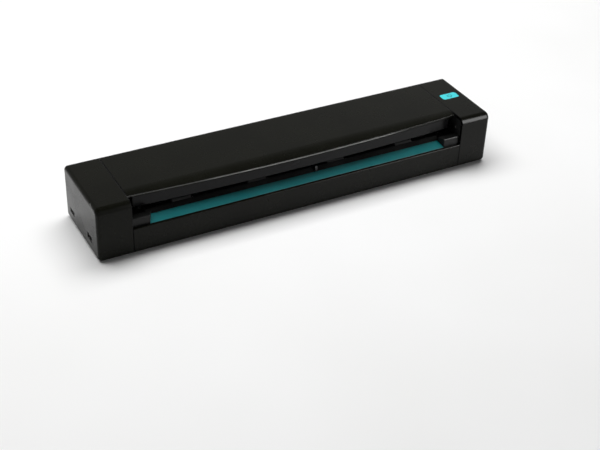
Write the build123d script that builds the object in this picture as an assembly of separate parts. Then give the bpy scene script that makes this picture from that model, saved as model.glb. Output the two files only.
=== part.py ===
from build123d import *
import math
import os

# Portable sheet-fed scanner, in millimetres. The origin is on the table under its middle,
# +X runs along the length to the right, +Y to the back and +Z up.

# Overall size and clearances
length = 296.0
depth = 61.0
height = 39.5
foot_drop = 0.6
seam = 0.4
slip = 0.2
running = 0.05

# End caps
cap_width = 23.5
wall = 2.0
front_round = 4.5
back_round = 3.2
bottom_round = 2.7
end_round = 2.6
corner_inside = 0.8
edge_round = 0.5

# Base and paper path
path_offset = 4.65
panel_drop = 5.2
path_gap = 1.4
path_bias = 0.1
plate_thickness = 1.4
entry_run = 9.7
entry_drop = 5.6
exit_run = 5.2
exit_drop = 4.6
strip_thickness = 1.0
strip_width = 6.0

# Side frames and hinge
frame_thickness = 2.0
frame_recess = 0.5
hinge_inset = 5.0
hinge_rise = 3.6
hinge_radius = 1.75
hinge_boss_radius = 3.6
hinge_boss_gap = 0.9
hinge_web = 3.0
hinge_head_radius = 2.8
hinge_head_height = 1.2

# Cover and its inner frame
cover_sheet = 1.8
lip_setback = 10.2
lip_bow = 3.2
roll_start = 16.5
roll_radius = 25.0
cover_back_rise = 2.1
skirt_front = 18.5
band_setback = 0.8
band_rise = 4.1
band_end_gap = 4.1
mould_wall = 1.5
flare_start = 13.3
flare_run = 2.3
tail_rise = 1.0

# Rollers
front_roller_inset = 17.5
rear_roller_inset = 11.5
shaft_radius = 2.0
shaft_end = 1.0
feed_radius = 5.0
feed_width = 14.0
roller_end_gap = 26.7
inner_roller_share = 0.353
nip_gap = 0.3
pinch_radius = 3.5
pinch_width = 12.0
pinch_axle_radius = 1.25
window_margin = 0.6
bush_radius = 3.0
bush_flange = 1.0
bush_flange_radius = 4.0
bearing_end_gap = 4.5
bearing_width = 3.6
bearing_depth = 4.8
bearing_rise = 2.6
rib_width = 4.0
rib_thickness = 1.2
rib_rise = 5.0

# Gears and motor
shaft_teeth = 18
drive_teeth = 22
pinion_teeth = 12
large_teeth = 36
fine_module = 0.5
pressure_angle = 20.0
backlash = 0.1
tooth_height = 0.8
root_depth = 1.25
flank_steps = 4
gear_width = 3.5
fine_gear_width = 2.5
gear_gap = 0.6
stud_radius = 2.0
stud_collar = 1.2
motor_angle = 202.0
motor_radius = 9.0
motor_length = 9.2
motor_shaft_radius = 1.0
motor_shaft_inside = 4.5
outlet_length = 3.5
outlet_depth = 6.0
outlet_rise = 1.6
bracket_sheet = 1.0
bracket_rise = 7.1
bracket_leg_radius = 2.0
bracket_leg_inset = 9.0
bracket_leg_low = 8.0
bracket_leg_rise = 4.6
bracket_reach = 9.5

# Image sensors
sensor_end_gap = 1.2
sensor_share = 0.3125
sensor_chamfer = 0.4
glass_rim = 1.0
lower_sensor_gap = 0.5
upper_sensor_share = 0.109375
white_strip_share = 0.1875
white_strip_thickness = 0.4
white_strip_short = 2.5
cushion_x = 70.0
cushion_width = 2.0
cushion_depth = 6.0

# Paper sensor
lever_x = 12.0
lever_inset = 9.5
lever_drop = 7.4
lever_pin = 0.9
lever_hub = 1.6
lever_half = 5.6
lever_arm = 1.6
lever_rise = 1.3
lever_swing_room = 5.8
flag_width = 1.2
flag_depth = 3.0
flag_clearance = 2.3
ear_gap = 4.0
ear_thickness = 1.4
ear_depth = 4.0
fork_gap = 1.6
fork_width = 2.0
fork_foot = 4.0
fork_height = 9.0

# Guide blocks
block_length = 12.2
block_front_rise = 1.1
block_top_round = 0.8
lead_in = 2.5
block_skirt = 8.4
block_front_run = 5.0
block_back_slope = 9.5
block_leg = 4.4
block_leg_depth = 3.4
rest_pad_offset = 3.2
rest_pad_inset = 15.5
rest_pad_radius = 1.5

# Main board, ports and ribbons
board_thickness = 1.6
board_bottom = 7.0
board_right_end = -60.0
board_front_inset = 10.3
board_back_inset = 7.7
board_screw_gap = 10.0
board_left_screw_gap = 6.1
board_screw_inset = 6.5
chip_size = 14.0
chip_height = 1.4
chip_gap = 31.0
connector_gap = 13.0
connector_length = 14.0
connector_depth = 4.0
connector_height = 2.0
connector_pitch = 11.5
ribbon_width = 12.0
ribbon_room = 2.0
ribbon_thickness = 0.3
long_ribbon_y = 6.0
long_ribbon_width = 8.0
long_ribbon_x = 140.0
mini_port_inset = 16.0
mini_port_width = 7.8
mini_port_height = 4.0
micro_port_inset = 12.3
micro_port_width = 7.6
micro_port_height = 2.8
port_depth = 8.5
port_shell = 0.4
port_tongue = 0.6
port_tongue_inset = 1.6
port_overhang = 2.6

# Button and its board
button_length = 13.6
button_depth = 7.2
button_round = 1.7
button_crown = 0.35
button_reach = 11.2
button_y = 3.7
button_travel = 0.6
button_height = 2.9
flange_reach = 0.9
flange_thickness = 0.8
stem_radius = 1.5
switch_size = 6.0
switch_height = 3.0
plunger_radius = 1.75
plunger_height = 1.0
plunger_inside = 1.0
button_board_length = 15.0
button_board_depth = 26.0
button_board_thickness = 1.2
button_post_radius = 2.0
button_post_pitch = 20.4

# Screws, posts and feet
screw_radius = 1.0
head_radius = 1.9
head_height = 1.0
bite = 5.0
hole_spare = 1.0
post_radius = 2.4
post_end_gap = 6.7
front_post_inset = 6.9
rear_post_inset = 4.8
sensor_post_x = 52.0
frame_boss_radius = 2.8
frame_boss_length = 7.0
frame_boss_gap = 1.2
frame_boss_inset = 5.0
tongue_reach = 11.5
tongue_root = 8.0
tongue_inset = 12.5
tongue_thickness = 1.8
cap_screw_reach = 6.5
cap_screw_inset = 4.0
lid_screw_x = 57.0
lid_screw_end_gap = 18.5
lid_screw_inset = 5.9
lid_boss_radius = 1.9
lid_head_sink = 0.8
foot_radius = 4.5
foot_seat = 0.4
foot_reach = 8.5
foot_inset = 9.5

# Springs
wire_radius = 0.25
spring_radius = 1.65
spring_turns = 4

# Places worked out from the sizes
half = length / 2
front = -depth / 2
back = depth / 2
inside_front = front + wall
inside_back = back - wall
floor_bottom = foot_drop
floor_top = foot_drop + wall
cap_x = half - cap_width
span_x = cap_x - seam
frame_x = cap_x + frame_recess
frame_out = frame_x + frame_thickness
path_height = height / 2 + path_offset
panel_top = path_height - panel_drop
guide_top = path_height - path_gap / 2 + path_bias
roof = guide_top + path_gap
roof_top = roof + plate_thickness
hinge_y = back - hinge_inset
hinge_height = path_height + hinge_rise
cover_back_bottom = path_height + cover_back_rise
lip_y = front + lip_setback
nose_y = lip_y - lip_bow
band_y = lip_y + band_setback
band_half = span_x - band_end_gap
hinge_boss_end = band_half + hinge_boss_gap
band_bottom = path_height + band_rise
cover_under = height - cover_sheet
block_x = span_x - block_length
block_top = path_height
block_front_top = path_height + block_front_rise
block_front_low = path_height - block_skirt
guide_half = block_x - slip
rest_pad_x = block_x + rest_pad_offset
tongue_top = floor_top + tongue_thickness
tongue_half = depth / 2 - tongue_inset
front_roller_y = front + front_roller_inset
rear_roller_y = back - rear_roller_inset
roller_pitch = rear_roller_y - front_roller_y
shaft_module = roller_pitch / (shaft_teeth + drive_teeth)
drive_y = front_roller_y + roller_pitch / 2
roller_y = {"front": front_roller_y, "rear": rear_roller_y}
outer_roller_x = guide_half - roller_end_gap
inner_roller_x = outer_roller_x * inner_roller_share
roller_xs = (-outer_roller_x, -inner_roller_x, inner_roller_x, outer_roller_x)
bearing_x = band_half - bearing_end_gap
feed_z = path_height - nip_gap / 2 - feed_radius
pinch_z = path_height + nip_gap / 2 + pinch_radius
gear_x = frame_out + bush_flange + gear_gap
fine_x = gear_x + gear_width + seam
bracket_x = fine_x + fine_gear_width + gear_gap
motor_x = bracket_x + bracket_sheet
motor_reach = fine_module * (pinion_teeth + large_teeth) / 2
motor_y = drive_y + motor_reach * math.cos(math.radians(motor_angle))
motor_z = feed_z + motor_reach * math.sin(math.radians(motor_angle))
bracket_low = tongue_top + ribbon_thickness + slip
bracket_top = path_height + bracket_rise
sensor_half_length = guide_half - sensor_end_gap
sensor_width = roller_pitch * sensor_share
white_strip_width = roller_pitch * white_strip_share
lower_sensor_y = front_roller_y + feed_radius + lower_sensor_gap + sensor_width / 2
upper_sensor_y = rear_roller_y - pinch_radius - roller_pitch * upper_sensor_share - sensor_width / 2
sensor_window = sensor_width / 2 - glass_rim
lower_bar_top = guide_top - plate_thickness
board_top = board_bottom + board_thickness
lower_bar_bottom = board_top + connector_height + ribbon_room
sensor_height = lower_bar_top - lower_bar_bottom
lever_y = front + lever_inset
lever_height = path_height - lever_drop
flag_bottom = floor_top + fork_foot + flag_clearance
board_front = front + board_front_inset
board_back = back - board_back_inset
chip_x = board_right_end - chip_gap
connector_x = board_right_end - connector_gap
mini_port_y = front + mini_port_inset
micro_port_y = back - micro_port_inset
port_x = -half + slip
button_x = cap_x + button_reach
button_floor = height - button_height
plunger_top = button_floor - button_travel
switch_top = plunger_top - plunger_height
button_board_top = switch_top - switch_height
button_board_bottom = button_board_top - button_board_thickness
entry_y = inside_front + slip
exit_y = inside_back - slip
flat_front = entry_y + entry_run
flat_back = exit_y - exit_run
entry_slope = entry_drop / entry_run

# Screw and foot places
frame_screw_ys = (front + frame_boss_inset, back - frame_boss_inset)
frame_boss_height = block_front_low - frame_boss_radius - frame_boss_gap
cap_screw_x = cap_x + cap_screw_reach
cap_screw_y = tongue_half - cap_screw_inset
plate_screw_xs = (post_end_gap - guide_half, 0, guide_half - post_end_gap)
plate_screw_ys = (front + front_post_inset, back - rear_post_inset)
leg_ys = (entry_y + block_leg_depth / 2, exit_y - block_leg_depth / 2)
leg_x = block_x + block_leg / 2
board_screw_xs = (board_right_end - board_screw_gap, board_left_screw_gap - span_x)
board_screw_ys = (board_front + board_screw_inset, board_back - board_screw_inset)
bracket_legs = ((front + bracket_leg_inset, bracket_leg_low),
                (front + bracket_leg_inset, path_height + bracket_leg_rise),
                (drive_y + bracket_reach, bracket_leg_low))
lid_screw_y = back - lid_screw_inset
lid_front_screw_y = lower_sensor_y - white_strip_width / 2 - head_radius - 3 * slip
lid_screw_places = [(side * x, lid_screw_y) for x in (lid_screw_x, band_half - lid_screw_end_gap)
                    for side in (-1, 1)]
lid_screw_places += [(side * lid_screw_x, lid_front_screw_y) for side in (-1, 1)]
button_post_ys = (button_y - button_post_pitch / 2, button_y + button_post_pitch / 2)
foot_places = [(cap_x + foot_reach, front + foot_inset), (cap_x + foot_reach, back - foot_inset)]


def block(x0, x1, y0, y1, z0, z1):
    """A plain box between two corners."""
    return Pos((x0 + x1) / 2, (y0 + y1) / 2, (z0 + z1) / 2) * Box(x1 - x0, y1 - y0, z1 - z0)


def slab(x, y, width, run, z0, z1):
    """A plain box centred on a place in plan."""
    return Pos(x, y, (z0 + z1) / 2) * Box(width, run, z1 - z0)


def rod_x(x0, x1, y, z, radius):
    """A round bar along X."""
    return Pos((x0 + x1) / 2, y, z) * Rot(0, 90, 0) * Cylinder(radius, x1 - x0)


def rod_z(x, y, z0, z1, radius):
    """A round bar along Z."""
    return Pos(x, y, (z0 + z1) / 2) * Cylinder(radius, z1 - z0)


def along_x(points, radii, x0, x1):
    """A profile in Y and Z with rounded corners, drawn out along X."""
    outline = FilletPolyline(*[(0, y, z) for y, z in points], radius=radii, close=True)
    return Pos(x0, 0, 0) * extrude(make_face(outline), amount=x1 - x0, dir=(1, 0, 0))


def both_ends(piece):
    """The piece and its mirror image at the other end."""
    return piece + mirror(piece, Plane.YZ)


def group(solids):
    """Separate solids that share one node."""
    return Compound(children=[part for piece in solids for part in piece.solids()])


def screw_hole(x, y, z0, z1):
    return rod_z(x, y, z0, z1, screw_radius + running)


def head_hole(x, y, z0, z1):
    return rod_z(x, y, z0, z1, head_radius + slip)


def screw(x, y, z, shank, turn):
    """A pan-head screw whose head starts at the given place."""
    base = (Align.CENTER, Align.CENTER, Align.MIN)
    piece = Cylinder(head_radius, head_height, align=base)
    piece += Pos(0, 0, head_height) * Cylinder(screw_radius, shank, align=base)
    return Pos(x, y, z) * turn * piece


upright = Rot(0, 0, 0)
downwards = Rot(180, 0, 0)
inwards = Rot(0, -90, 0)


# End caps

def cap_profile(inset, x0, x1):
    """The caps' outline in Y and Z, moved inwards by the inset."""
    corners = [(front + inset, height - inset), (front + inset, floor_bottom + inset),
               (back - inset, floor_bottom + inset), (back - inset, height - inset)]
    rounds = [max(r - inset, corner_inside) for r in (front_round, bottom_round, bottom_round, back_round)]
    return along_x(corners, rounds, x0, x1)


def end_cap_shell():
    """The right-hand cap, closed outside and open towards the middle."""
    outside = cap_profile(0, cap_x, half)
    rim = outside.faces().sort_by(Axis.X)[-1].edges()
    cap = fillet(rim, end_round) - cap_profile(wall, cap_x, half - wall)
    for y in (-cap_screw_y, cap_screw_y):
        cap -= screw_hole(cap_screw_x, y, floor_bottom, floor_top)
        cap -= head_hole(cap_screw_x, y, floor_bottom, floor_bottom + head_height)
    for x, y in foot_places:
        cap -= rod_z(x, y, floor_bottom, floor_bottom + foot_seat, foot_radius)
    return cap


def port_mouth(y, width, tall):
    """The hole in the left cap's side in front of a port."""
    mouth = block(-half, -half + wall, y - width / 2 - slip, y + width / 2 + slip,
                  board_top - slip, board_top + tall + slip)
    return fillet(mouth.edges().filter_by(Axis.X), edge_round)


def left_end_cap():
    cap = mirror(end_cap_shell(), Plane.YZ)
    cap -= port_mouth(mini_port_y, mini_port_width, mini_port_height)
    return cap - port_mouth(micro_port_y, micro_port_width, micro_port_height)


def button_outline(grow, z0, z1):
    """The button's rounded rectangle, grown on every side."""
    plan = RectangleRounded(button_length + 2 * grow, button_depth + 2 * grow, button_round + grow)
    return Pos(button_x, button_y, z0) * extrude(plan, amount=z1 - z0, dir=(0, 0, 1))


def right_end_cap():
    """The right cap has the button's hole and two posts for its board."""
    cap = end_cap_shell() - button_outline(slip, height - wall, height)
    for y in button_post_ys:
        cap += rod_z(button_x, y, button_board_top, height - wall, button_post_radius)
        cap -= screw_hole(button_x, y, button_board_top, button_board_top + bite)
    return cap


# Base tray

def frame_boss(y, wall_y):
    """A boss against the tray's wall that a side frame is screwed to."""
    boss = rod_x(span_x - frame_boss_length, frame_x, y, frame_boss_height, frame_boss_radius)
    inner, outer = sorted((y, wall_y))
    return boss + block(span_x - frame_boss_length, span_x, inner, outer,
                        frame_boss_height - frame_boss_radius / 2, frame_boss_height + frame_boss_radius / 2)


def lever_ears():
    """Two upright ears in which the paper sensor's lever swings."""
    ear = block(ear_gap, ear_gap + ear_thickness, lever_y - ear_depth / 2, lever_y + ear_depth / 2,
                floor_top, lever_height + ear_depth / 2)
    ears = both_ends(ear) - rod_x(-lever_half, lever_half, lever_y, lever_height, lever_pin + running)
    return Pos(lever_x, 0, 0) * ears


def base_tray():
    """Floor, front panel and rear wall in one moulding, with a tongue into each cap."""
    corners = [(front, panel_top), (front, floor_bottom), (back, floor_bottom), (back, panel_top)]
    tray = along_x(corners, [edge_round, bottom_round, bottom_round, edge_round], -span_x, span_x)
    tray -= block(-span_x, span_x, inside_front, inside_back, floor_top, panel_top)
    tray += both_ends(block(span_x - tongue_root, cap_x + tongue_reach, -tongue_half, tongue_half,
                            floor_top, tongue_top))
    for y, wall_y in zip(frame_screw_ys, (inside_front, inside_back)):
        tray += both_ends(frame_boss(y, wall_y))
        hole = rod_x(span_x - frame_boss_length, frame_x, y, frame_boss_height, screw_radius + running)
        tray -= both_ends(hole)
    for x in board_screw_xs:
        for y in board_screw_ys:
            tray += rod_z(x, y, floor_top, board_bottom, post_radius)
            tray -= screw_hole(x, y, floor_top, board_bottom)
    for x in (-sensor_post_x, sensor_post_x):
        tray += rod_z(x, lower_sensor_y, floor_top, lower_bar_bottom, post_radius)
    tray += lever_ears()
    for x in plate_screw_xs:
        for y in plate_screw_ys:
            tray -= screw_hole(x, y, floor_bottom, floor_top)
            tray -= head_hole(x, y, floor_bottom, floor_bottom + head_height)
    for y in leg_ys:
        tray -= both_ends(screw_hole(leg_x, y, floor_bottom, floor_top))
        tray -= both_ends(head_hole(leg_x, y, floor_bottom, floor_bottom + head_height))
    for y in (-cap_screw_y, cap_screw_y):
        tray -= both_ends(screw_hole(cap_screw_x, y, floor_top, tongue_top))
    return tray


# Side frames, bushes and hinge pins

def frame_plate():
    """The plate that closes a cap on the right and carries shafts and hinge pin."""
    plate = cap_profile(wall, frame_x, frame_out)
    plate -= block(frame_x, frame_out, -tongue_half - slip, tongue_half + slip,
                   floor_bottom, tongue_top + ribbon_thickness + slip)
    for y in roller_y.values():
        plate -= rod_x(frame_x, frame_out, y, feed_z, bush_radius)
    plate -= rod_x(frame_x, frame_out, hinge_y, hinge_height, hinge_radius)
    for y in frame_screw_ys:
        plate -= rod_x(frame_x, frame_out, y, frame_boss_height, screw_radius + running)
    return plate


def right_side_frame():
    plate = frame_plate() - rod_x(frame_x, frame_out, drive_y, feed_z, stud_radius)
    for y, z in bracket_legs:
        plate -= rod_x(frame_x, frame_out, y, z, screw_radius + running)
    return plate


def left_side_frame():
    """The left frame has a slot that the main board passes through."""
    slot = block(-frame_out, -frame_x, board_front - slip, board_back + slip,
                 board_bottom - slip, board_top + slip)
    return mirror(frame_plate(), Plane.YZ) - slot


def bush(y):
    """A flanged bush for the right end of a feed shaft."""
    piece = rod_x(frame_x, frame_out, y, feed_z, bush_radius)
    piece += rod_x(frame_out, frame_out + bush_flange, y, feed_z, bush_flange_radius)
    return piece - rod_x(frame_x, frame_out + bush_flange, y, feed_z, shaft_radius + running)


def shaft_bushes():
    bushes = [bush(y) for y in roller_y.values()]
    return group(bushes + [mirror(piece, Plane.YZ) for piece in bushes])


def hinge_pins():
    pin = rod_x(hinge_boss_end + slip, frame_out, hinge_y, hinge_height, hinge_radius)
    pin += rod_x(frame_out, frame_out + hinge_head_height, hinge_y, hinge_height, hinge_head_radius)
    return group([pin, mirror(pin, Plane.YZ)])


# Lower guide plate, entry strip and guide blocks

def white_strip(y, z0, z1):
    """The white strip that a sensor looks at across the paper path."""
    return slab(0, y, 2 * (sensor_half_length - white_strip_short), white_strip_width, z0, z1)


def glass_opening(y, z0, z1):
    return slab(0, y, 2 * (sensor_half_length - glass_rim), 2 * sensor_window, z0, z1)


def roller_windows(radius, width, z0, z1):
    """Cut-outs for all the rollers of one guide."""
    cuts = [slab(x, y, width + 2 * window_margin, 2 * (radius + slip), z0, z1)
            for x in roller_xs for y in roller_y.values()]
    return Part() + cuts


def lower_guide_plate():
    """The moulded floor of the paper path, on six posts."""
    line = [(entry_y, guide_top - entry_drop), (flat_front, guide_top),
            (flat_back, guide_top), (exit_y, guide_top - exit_drop)]
    under = [(y, z - plate_thickness) for y, z in reversed(line)]
    plate = along_x(line + under, [0] * 8, -guide_half, guide_half)
    for x in plate_screw_xs:
        for y in plate_screw_ys:
            plate += rod_z(x, y, floor_top, lower_bar_top, post_radius)
            plate -= screw_hole(x, y, floor_top, floor_top + bite + hole_spare)
    over = line + [(exit_y, height), (entry_y, height)]
    plate -= along_x(over, [0] * 6, -guide_half, guide_half)
    low = guide_top - entry_drop - plate_thickness
    plate -= roller_windows(feed_radius, feed_width, low, guide_top)
    plate -= glass_opening(lower_sensor_y, low, guide_top)
    plate -= white_strip(upper_sensor_y, guide_top - white_strip_thickness, guide_top)
    reach = lever_arm / 2 + window_margin
    return plate - block(lever_x - reach, lever_x + reach, lever_y - lever_arm, lever_y + lever_swing_room,
                         low, guide_top)


def entry_strip():
    """The coloured strip on the entry slope, just behind the front panel's top edge."""
    y1 = entry_y + strip_width
    z0 = guide_top - entry_drop
    z1 = z0 + strip_width * entry_slope
    corners = [(entry_y, z0), (y1, z1), (y1, z1 + strip_thickness), (entry_y, z0 + strip_thickness)]
    return along_x(corners, [0, 0, strip_thickness / 3, strip_thickness / 3], -guide_half, guide_half)


def block_lead():
    """The slanted cheek that leads a sheet in, over the entry strip."""
    lead_back = entry_y + block_front_run
    low = guide_top - entry_drop + strip_thickness + slip
    sides = [(entry_y, low), (entry_y, block_front_top), (lead_back, block_front_top),
             (lead_back, low + block_front_run * entry_slope)]
    cheek = along_x(sides, [0, block_top_round, edge_round, 0], block_x - lead_in, block_x)
    corner = Polyline((block_x - lead_in, entry_y), (block_x, entry_y), (block_x - lead_in, lead_back),
                      close=True)
    return cheek - extrude(make_face(corner), amount=height, dir=(0, 0, 1))


def guide_block():
    """The right-hand guide block beside the paper path, on two legs."""
    ramp_y = entry_y + block_front_run
    slope_y = back - block_back_slope
    low_back = panel_top - slip
    under = block_top - mould_wall
    corners = [(entry_y, block_front_low), (entry_y, block_front_top), (ramp_y, block_front_top),
               (ramp_y + block_front_rise, block_top), (slope_y, block_top), (exit_y, low_back),
               (exit_y, low_back - mould_wall), (slope_y - mould_wall / 2, under),
               (entry_y + mould_wall, under), (entry_y + mould_wall, block_front_low)]
    rounds = [0, block_top_round, edge_round, 0, 0, 0, 0, 0, 0, 0]
    piece = along_x(corners, rounds, block_x, span_x) + block_lead()
    for y, top in zip(leg_ys, (block_front_top - mould_wall / 2, low_back)):
        piece += slab(leg_x, y, block_leg, block_leg_depth, floor_top, top)
        piece -= screw_hole(leg_x, y, floor_top, floor_top + bite + hole_spare)
    pad_base = block_top - mould_wall / 2
    return piece + rod_z(rest_pad_x, front + rest_pad_inset, pad_base, roof, rest_pad_radius)


# Image sensors

def sensor_bar(y, z0):
    """The long housing of a contact image sensor."""
    bar = slab(0, y, 2 * sensor_half_length, sensor_width, z0, z0 + sensor_height)
    return chamfer(bar.edges().filter_by(Axis.X), sensor_chamfer)


def sensor_glass(y, z0, z1):
    long = 2 * (sensor_half_length - glass_rim - running)
    return slab(0, y, long, 2 * (sensor_window - running), z0, z1)


# Feed rollers and gears

def involute(angle):
    return math.tan(angle) - angle


def gear(teeth, module, width, phase, x, y, z, bore):
    """A spur gear on an axis along X with one tooth centred at the phase angle from +Y."""
    pitch = module * teeth / 2
    base = pitch * math.cos(math.radians(pressure_angle))
    tip = pitch + tooth_height * module
    root = pitch - root_depth * module
    start = max(root, base)
    half_tooth = (math.pi * module / 2 - backlash / 2) / (2 * pitch) + involute(math.radians(pressure_angle))
    radii = [start + (tip - start) * step / flank_steps for step in range(flank_steps + 1)]
    flank = [(r, half_tooth - involute(math.acos(min(1.0, base / r)))) for r in radii]
    if root < base:
        flank.insert(0, (root, flank[0][1]))
    points = []
    for tooth in range(teeth):
        centre = math.radians(phase) + 2 * math.pi * tooth / teeth
        sides = [(r, centre - a) for r, a in flank] + [(r, centre + a) for r, a in reversed(flank)]
        points += [(0, r * math.cos(a), r * math.sin(a)) for r, a in sides]
    body = extrude(make_face(Polyline(*points, close=True)), amount=width, dir=(1, 0, 0))
    return Pos(x, y, z) * (body - rod_x(0, width, 0, 0, bore))


def feed_shaft(y):
    """A steel shaft across the scanner, with its right end long enough for a gear."""
    left = -frame_out - bush_flange - shaft_end
    return rod_x(left, gear_x + gear_width + running, y, feed_z, shaft_radius)


def tyres(y, z, radius, width, bore):
    """Four rubber tyres on one shaft or axle."""
    tyre = rod_x(-width / 2, width / 2, y, z, radius)
    tyre = fillet(tyre.edges().filter_by(GeomType.CIRCLE), edge_round)
    tyre -= rod_x(-width / 2, width / 2, y, z, bore)
    return group([Pos(x, 0, 0) * tyre for x in roller_xs])


def shaft_gear(y):
    return gear(shaft_teeth, shaft_module, gear_width, 0, gear_x, y, feed_z, shaft_radius)


def drive_gear():
    """A gear between the two shaft gears, in one piece with the large gear beside it."""
    bore = stud_radius + running
    near = gear(drive_teeth, shaft_module, gear_width, 180 / drive_teeth, gear_x, drive_y, feed_z, bore)
    large = gear(large_teeth, fine_module, fine_gear_width, motor_angle, fine_x, drive_y, feed_z, bore)
    hub = rod_x(gear_x + gear_width, fine_x, drive_y, feed_z, 2 * stud_radius)
    return near + large + (hub - rod_x(gear_x + gear_width, fine_x, drive_y, feed_z, bore))


def drive_gear_stud():
    pin = rod_x(frame_x, motor_x, drive_y, feed_z, stud_radius)
    return pin + rod_x(frame_out, gear_x - gear_gap / 2, drive_y, feed_z, stud_radius + stud_collar)


def motor_shaft():
    return rod_x(fine_x, motor_x + motor_shaft_inside, motor_y, motor_z, motor_shaft_radius)


def motor_pinion():
    phase = motor_angle + 180 + 180 / pinion_teeth
    return gear(pinion_teeth, fine_module, fine_gear_width, phase, fine_x, motor_y, motor_z,
                motor_shaft_radius)


def motor():
    """A flat stepper motor with a wire outlet on its rim."""
    can = rod_x(motor_x, motor_x + motor_length, motor_y, motor_z, motor_radius)
    can = fillet(can.edges().filter_by(GeomType.CIRCLE).sort_by(Axis.X)[-1:], edge_round)
    can += slab(motor_x + motor_length / 2, motor_y, outlet_length, outlet_depth,
                motor_z, motor_z + motor_radius + outlet_rise)
    reach = motor_shaft_inside + slip
    return can - rod_x(motor_x, motor_x + reach, motor_y, motor_z, motor_shaft_radius + running)


def motor_bracket():
    """The plate that carries the motor, on three hollow legs."""
    post_back = front + bracket_leg_inset + bracket_leg_radius
    post_front = post_back - 2 * bracket_leg_radius
    plate = block(bracket_x, motor_x, post_front, drive_y + bracket_reach + bracket_leg_radius,
                  bracket_low, motor_z + motor_radius)
    plate += block(bracket_x, motor_x, post_front, post_back, bracket_low, bracket_top)
    for y, z in bracket_legs:
        plate += rod_x(frame_out, motor_x, y, z, bracket_leg_radius)
        plate -= rod_x(frame_out, motor_x, y, z, screw_radius + running)
    plate -= rod_x(bracket_x, motor_x, drive_y, feed_z, stud_radius)
    return plate - rod_x(bracket_x, motor_x, motor_y, motor_z, 2 * motor_shaft_radius)


# Cover

def plan_front(y_end, z0, z1, y_back, half_x):
    """A plate in plan whose front edge bows forward in the middle."""
    edge = ThreePointArc((-half_x, y_end), (0, y_end - lip_bow), (half_x, y_end))
    rest = Polyline((half_x, y_end), (half_x, y_back), (-half_x, y_back), (-half_x, y_end))
    return Pos(0, 0, z0) * extrude(make_face([edge, rest]), amount=z1 - z0, dir=(0, 0, 1))


def cover_profile(inset, y_front, y_back, z_bottom, half_x):
    """The cover's section: flat top, rolled front and rounded back, moved inwards by the inset."""
    top = height - inset
    start = front + roll_start
    radius = roll_radius - inset
    swing = math.asin((start - y_front) / radius)
    nose = (0, y_front, top - radius * (1 - math.cos(swing)))
    middle = (0, start - radius * math.sin(swing / 2), top - radius * (1 - math.cos(swing / 2)))
    corner = max(back_round - inset, corner_inside)
    bulge = corner * (1 - math.cos(math.pi / 4))
    roll = ThreePointArc(nose, middle, (0, start, top))
    flat = Line((0, start, top), (0, y_back - corner, top))
    turn = ThreePointArc((0, y_back - corner, top), (0, y_back - bulge, top - bulge),
                         (0, y_back, top - corner))
    rest = Polyline((0, y_back, top - corner), (0, y_back, z_bottom), (0, y_front, z_bottom), nose)
    body = extrude(make_face([roll, flat, turn, rest]), amount=2 * half_x, dir=(1, 0, 0))
    return Pos(-half_x, 0, 0) * body


def top_cover():
    """The outer shell of the cover with its rear wall, skirts and hinge bosses."""
    shell = cover_profile(0, nose_y, back, cover_back_bottom, span_x)
    shell -= cover_profile(cover_sheet, nose_y - wall, inside_back, cover_back_bottom, span_x)
    skirt = block(span_x - cover_sheet, span_x, front + skirt_front, inside_back + wall / 2,
                  cover_back_bottom, cover_under + cover_sheet / 2)
    shell += both_ends(skirt)
    shell = shell & plan_front(lip_y, cover_back_bottom, height, back, span_x)
    boss = rod_x(hinge_boss_end, span_x, hinge_y, hinge_height, hinge_boss_radius)
    boss += block(hinge_boss_end, span_x, hinge_y, inside_back + wall / 2,
                  hinge_height, hinge_height + hinge_web)
    shell += both_ends(boss)
    hole = rod_x(hinge_boss_end, span_x, hinge_y, hinge_height, hinge_radius + running)
    shell -= both_ends(hole)
    for x, y in lid_screw_places:
        shell += rod_z(x, y, roof_top, cover_under + cover_sheet / 2, lid_boss_radius)
        shell -= screw_hole(x, y, roof_top, roof_top + bite + hole_spare)
    for x in (-cushion_x, cushion_x):
        shell += slab(x, upper_sensor_y, cushion_width, cushion_depth,
                      roof_top + sensor_height, cover_under + cover_sheet / 2)
    return shell


def lid_inner_frame():
    """The band under the lip and the upper paper guide, a tray closed by the cover."""
    hollow_y = front + flare_start
    inner_x = band_half - mould_wall
    tray = plan_front(band_y, roof, height, exit_y, band_half)
    tray = tray & cover_profile(cover_sheet + slip, nose_y - wall, exit_y, roof, band_half)
    tray -= block(-inner_x, inner_x, hollow_y, exit_y - mould_wall, roof_top, height)
    tray -= plan_front(band_y + mould_wall, band_bottom + mould_wall, height, hollow_y, inner_x)
    flare = [(hollow_y, roof), (hollow_y - flare_run, band_bottom), (front, band_bottom), (front, roof)]
    tray -= along_x(flare, [0] * 4, -span_x, span_x)
    tail = [(flat_back, roof), (exit_y, roof), (exit_y, roof + tail_rise)]
    tray -= along_x(tail, [0] * 3, -span_x, span_x)
    tray -= roller_windows(pinch_radius, pinch_width, roof, roof_top)
    tray -= glass_opening(upper_sensor_y, roof, roof_top)
    tray -= white_strip(lower_sensor_y, roof, roof + white_strip_thickness)
    offset = (bearing_depth + slip + rib_thickness) / 2
    for y in roller_y.values():
        for place in (y - offset, y + offset):
            rib = slab(bearing_x, place, rib_width, rib_thickness, roof_top, pinch_z + rib_rise)
            tray += both_ends(rib)
    for x, y in lid_screw_places:
        tray -= screw_hole(x, y, roof, roof_top)
        tray -= head_hole(x, y, roof, roof + lid_head_sink)
    return tray


# Pinch rollers

def pinch_bearings(y):
    """Two small sliding blocks that carry a pinch axle."""
    piece = slab(bearing_x, y, bearing_width, bearing_depth, roof_top, pinch_z + bearing_rise)
    piece -= rod_x(bearing_x - bearing_width, bearing_x + bearing_width, y, pinch_z,
                   pinch_axle_radius + running)
    return group([piece, mirror(piece, Plane.YZ)])


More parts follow.
